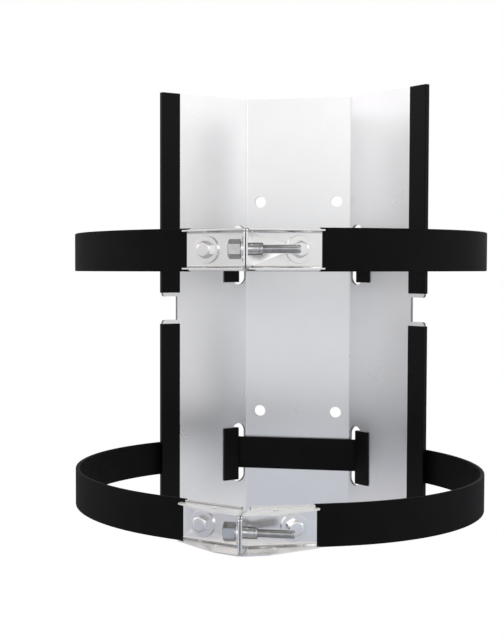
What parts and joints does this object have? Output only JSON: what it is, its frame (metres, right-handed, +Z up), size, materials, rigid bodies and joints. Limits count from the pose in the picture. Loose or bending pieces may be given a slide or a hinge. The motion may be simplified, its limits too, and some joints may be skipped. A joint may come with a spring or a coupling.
{
  "type": "gas bottle wall holder",
  "caption": "Bent steel wall plate with rubber edges and two coated steel straps, each closed by a clamp screw, that hold a gas bottle upright.",
  "frame": {"origin": "centre of the four wall bolt holes, on the plate's rear face, which lies against the wall", "axes": "+Z up, +Y into the wall, +X to the right as seen from the front"},
  "size_m": [0.314, 0.3542, 0.375],
  "materials": {
    "plate_steel": "smooth stainless sheet with a soft mill finish",
    "bracket_steel": "bright stainless sheet",
    "fastener_steel": "bright turned steel",
    "edge_rubber": "matte, finely grained",
    "strap_coating": "smooth satin black coating"
  },
  "bodies": {
    "plate": {"back_plate": "plate_steel", "edge_strip_upper_left": "edge_rubber", "edge_strip_upper_right": "edge_rubber", "edge_strip_lower_left": "edge_rubber", "edge_strip_lower_right": "edge_rubber", "slot_guard_upper_left": "edge_rubber", "slot_guard_upper_right": "edge_rubber", "slot_guard_lower_left": "edge_rubber", "slot_guard_lower_right": "edge_rubber", "upper_strap_rear": "strap_coating", "lower_strap_rear": "strap_coating"},
    "upper_left_arm": {"upper_strap_left": "strap_coating", "upper_bracket_left": "bracket_steel", "upper_strap_bolt_left": "fastener_steel", "upper_strap_washer_left": "fastener_steel", "upper_strap_nut_left": "fastener_steel", "upper_clamp_washer": "fastener_steel"},
    "upper_right_arm": {"upper_strap_right": "strap_coating", "upper_bracket_right": "bracket_steel", "upper_strap_bolt_right": "fastener_steel", "upper_strap_washer_right": "fastener_steel", "upper_strap_nut_right": "fastener_steel", "upper_clamp_bush": "fastener_steel"},
    "upper_screw": {"upper_clamp_screw": "fastener_steel"},
    "lower_left_arm": {"lower_strap_left": "strap_coating", "lower_bracket_left": "bracket_steel", "lower_strap_bolt_left": "fastener_steel", "lower_strap_washer_left": "fastener_steel", "lower_strap_nut_left": "fastener_steel", "lower_clamp_washer": "fastener_steel"},
    "lower_right_arm": {"lower_strap_right": "strap_coating", "lower_bracket_right": "bracket_steel", "lower_strap_bolt_right": "fastener_steel", "lower_strap_washer_right": "fastener_steel", "lower_strap_nut_right": "fastener_steel", "lower_clamp_bush": "fastener_steel"},
    "lower_screw": {"lower_clamp_screw": "fastener_steel"}
  },
  "joints": [
    {"name": "upper_left_slide", "type": "slide", "parent": "plate", "child": "upper_left_arm", "axis": [-0.9999, -0.014, 0], "range_m": [0, 0.01]},
    {"name": "upper_right_slide", "type": "slide", "parent": "plate", "child": "upper_right_arm", "axis": [0.9999, 0.014, 0], "range_m": [0, 0.01]},
    {"name": "upper_screw_turn", "type": "hinge", "parent": "upper_left_arm", "child": "upper_screw", "pos_m": [0.00251, -0.33963, 0.047], "axis": [-0.9999, -0.014, 0], "range_deg": [0, 7200]},
    {"name": "lower_left_slide", "type": "slide", "parent": "plate", "child": "lower_left_arm", "axis": [-1, 0.0017, 0], "range_m": [0, 0.01]},
    {"name": "lower_right_slide", "type": "slide", "parent": "plate", "child": "lower_right_arm", "axis": [1, -0.0017, 0], "range_m": [0, 0.01]},
    {"name": "lower_screw_turn", "type": "hinge", "parent": "lower_left_arm", "child": "lower_screw", "pos_m": [-0.00031, -0.33964, -0.133], "axis": [-1, 0.0017, 0], "range_deg": [0, 7200]}
  ],
  "couplings": [
    {"joint": "upper_right_slide", "follows": "upper_left_slide", "ratio": 1},
    {"joint": "upper_screw_turn", "follows": "upper_left_slide", "rad_per_m": 12566},
    {"joint": "lower_right_slide", "follows": "lower_left_slide", "ratio": 1},
    {"joint": "lower_screw_turn", "follows": "lower_left_slide", "rad_per_m": 12566}
  ]
}
